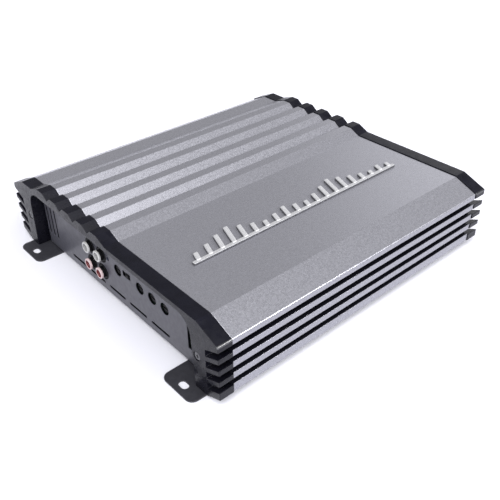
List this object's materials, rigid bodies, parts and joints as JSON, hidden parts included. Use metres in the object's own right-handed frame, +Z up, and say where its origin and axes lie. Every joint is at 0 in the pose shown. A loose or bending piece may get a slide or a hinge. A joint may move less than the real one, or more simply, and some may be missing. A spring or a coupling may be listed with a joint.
{
  "type": "car amplifier",
  "caption": "Flat finned car audio amplifier: ridged aluminium heatsink body, black end caps, recessed panels with sockets, controls, terminals and fuses, and screw-down tabs.",
  "frame": {"origin": "centre of the footprint, on the underside of the bottom plate", "axes": "+X along the heatsink grooves towards the power end, +Y towards the ridged rear edge, +Z up"},
  "size_m": [0.2706, 0.24, 0.0575],
  "materials": {
    "heatsink_aluminium": "fine satin silver coat",
    "cap_black": "glossy black, hard surface",
    "black_screw": "satin black",
    "plated_screw": "plated",
    "dark_sheet": "satin dark grey",
    "panel_grey": "satin grey",
    "black_plastic": "moulded",
    "white_plastic": "moulded",
    "red_plastic": "moulded",
    "control_black": "moulded",
    "pot_blue": "moulded",
    "switch_steel": "plain",
    "led_lens": "clear tinted, unlit",
    "terminal_brass": "bright",
    "fuse_amber": "tinted",
    "board_green": "glass-fibre laminate",
    "winding_copper": "enamelled winding on a ring core",
    "capacitor_sleeve": "shrink sleeve",
    "transistor_black": "moulded",
    "clamp_steel": "plain",
    "badge_chrome": "bright"
  },
  "bodies": {
    "amplifier": {"badge": "badge_chrome", "bottom_plate": "dark_sheet", "cap_screw_power_front": "black_screw", "cap_screw_power_rear": "black_screw", "cap_screw_signal_front": "black_screw", "cap_screw_signal_rear": "black_screw", "clamp_bar_front": "clamp_steel", "clamp_bar_rear": "clamp_steel", "control_board": "board_green", "end_cap_power": "cap_black", "end_cap_signal": "cap_black", "filter_capacitor_1": "capacitor_sleeve", "filter_capacitor_2": "capacitor_sleeve", "filter_capacitor_3": "capacitor_sleeve", "filter_capacitor_4": "capacitor_sleeve", "fuse_holder": "black_plastic", "heatsink": "heatsink_aluminium", "main_board": "board_green", "plate_screw_front_1": "plated_screw", "plate_screw_front_2": "plated_screw", "plate_screw_front_3": "plated_screw", "plate_screw_rear_1": "plated_screw", "plate_screw_rear_2": "plated_screw", "plate_screw_rear_3": "plated_screw", "pot_body_1": "pot_blue", "pot_body_2": "pot_blue", "pot_body_3": "pot_blue", "pot_body_4": "pot_blue", "power_led": "led_lens", "power_panel": "panel_grey", "power_terminal_strip": "black_plastic", "rca_block": "black_plastic", "rca_insert_red_1": "red_plastic", "rca_insert_red_2": "red_plastic", "rca_insert_white_1": "white_plastic", "rca_insert_white_2": "white_plastic", "signal_panel": "panel_grey", "speaker_terminal_strip": "black_plastic", "switch_body": "switch_steel", "toroid": "winding_copper", "transistor_front_1": "transistor_black", "transistor_front_2": "transistor_black", "transistor_rear_1": "transistor_black", "transistor_rear_2": "transistor_black"},
    "pot_1": {"pot_shaft_1": "control_black"},
    "pot_2": {"pot_shaft_2": "control_black"},
    "pot_3": {"pot_shaft_3": "control_black"},
    "pot_4": {"pot_shaft_4": "control_black"},
    "crossover_switch": {"switch_slider": "control_black"},
    "power_terminal_1": {"power_terminal_screw_1": "terminal_brass"},
    "power_terminal_2": {"power_terminal_screw_2": "terminal_brass"},
    "power_terminal_3": {"power_terminal_screw_3": "terminal_brass"},
    "speaker_terminal_1": {"speaker_terminal_screw_1": "terminal_brass"},
    "speaker_terminal_2": {"speaker_terminal_screw_2": "terminal_brass"},
    "speaker_terminal_3": {"speaker_terminal_screw_3": "terminal_brass"},
    "speaker_terminal_4": {"speaker_terminal_screw_4": "terminal_brass"},
    "fuse_1_plug": {"fuse_1": "fuse_amber"},
    "fuse_2_plug": {"fuse_2": "fuse_amber"}
  },
  "joints": [
    {"name": "pot_1_turn", "type": "hinge", "parent": "amplifier", "child": "pot_1", "pos_m": [-0.1149, -0.0058, 0.0297], "axis": [-1, 0, 0], "range_deg": [-140, 140]},
    {"name": "pot_2_turn", "type": "hinge", "parent": "amplifier", "child": "pot_2", "pos_m": [-0.1149, -0.0314, 0.0297], "axis": [-1, 0, 0], "range_deg": [-140, 140]},
    {"name": "pot_3_turn", "type": "hinge", "parent": "amplifier", "child": "pot_3", "pos_m": [-0.1149, -0.0448, 0.0297], "axis": [-1, 0, 0], "range_deg": [-140, 140]},
    {"name": "pot_4_turn", "type": "hinge", "parent": "amplifier", "child": "pot_4", "pos_m": [-0.1149, -0.058, 0.0297], "axis": [-1, 0, 0], "range_deg": [-140, 140]},
    {"name": "crossover_switch_slide", "type": "slide", "parent": "amplifier", "child": "crossover_switch", "axis": [0, 1, 0], "range_m": [0, 0.003]},
    {"name": "power_terminal_1_turn", "type": "hinge", "parent": "amplifier", "child": "power_terminal_1", "pos_m": [0.1188, -0.067, 0.022], "axis": [1, 0, 0], "continuous": true},
    {"name": "power_terminal_2_turn", "type": "hinge", "parent": "amplifier", "child": "power_terminal_2", "pos_m": [0.1188, -0.052, 0.022], "axis": [1, 0, 0], "continuous": true},
    {"name": "power_terminal_3_turn", "type": "hinge", "parent": "amplifier", "child": "power_terminal_3", "pos_m": [0.1188, -0.037, 0.022], "axis": [1, 0, 0], "continuous": true},
    {"name": "speaker_terminal_1_turn", "type": "hinge", "parent": "amplifier", "child": "speaker_terminal_1", "pos_m": [0.1188, 0.029, 0.022], "axis": [1, 0, 0], "continuous": true},
    {"name": "speaker_terminal_2_turn", "type": "hinge", "parent": "amplifier", "child": "speaker_terminal_2", "pos_m": [0.1188, 0.043, 0.022], "axis": [1, 0, 0], "continuous": true},
    {"name": "speaker_terminal_3_turn", "type": "hinge", "parent": "amplifier", "child": "speaker_terminal_3", "pos_m": [0.1188, 0.057, 0.022], "axis": [1, 0, 0], "continuous": true},
    {"name": "speaker_terminal_4_turn", "type": "hinge", "parent": "amplifier", "child": "speaker_terminal_4", "pos_m": [0.1188, 0.071, 0.022], "axis": [1, 0, 0], "continuous": true},
    {"name": "fuse_1_pull", "type": "slide", "parent": "amplifier", "child": "fuse_1_plug", "axis": [1, 0, 0], "range_m": [0, 0.02]},
    {"name": "fuse_2_pull", "type": "slide", "parent": "amplifier", "child": "fuse_2_plug", "axis": [1, 0, 0], "range_m": [0, 0.02]}
  ]
}
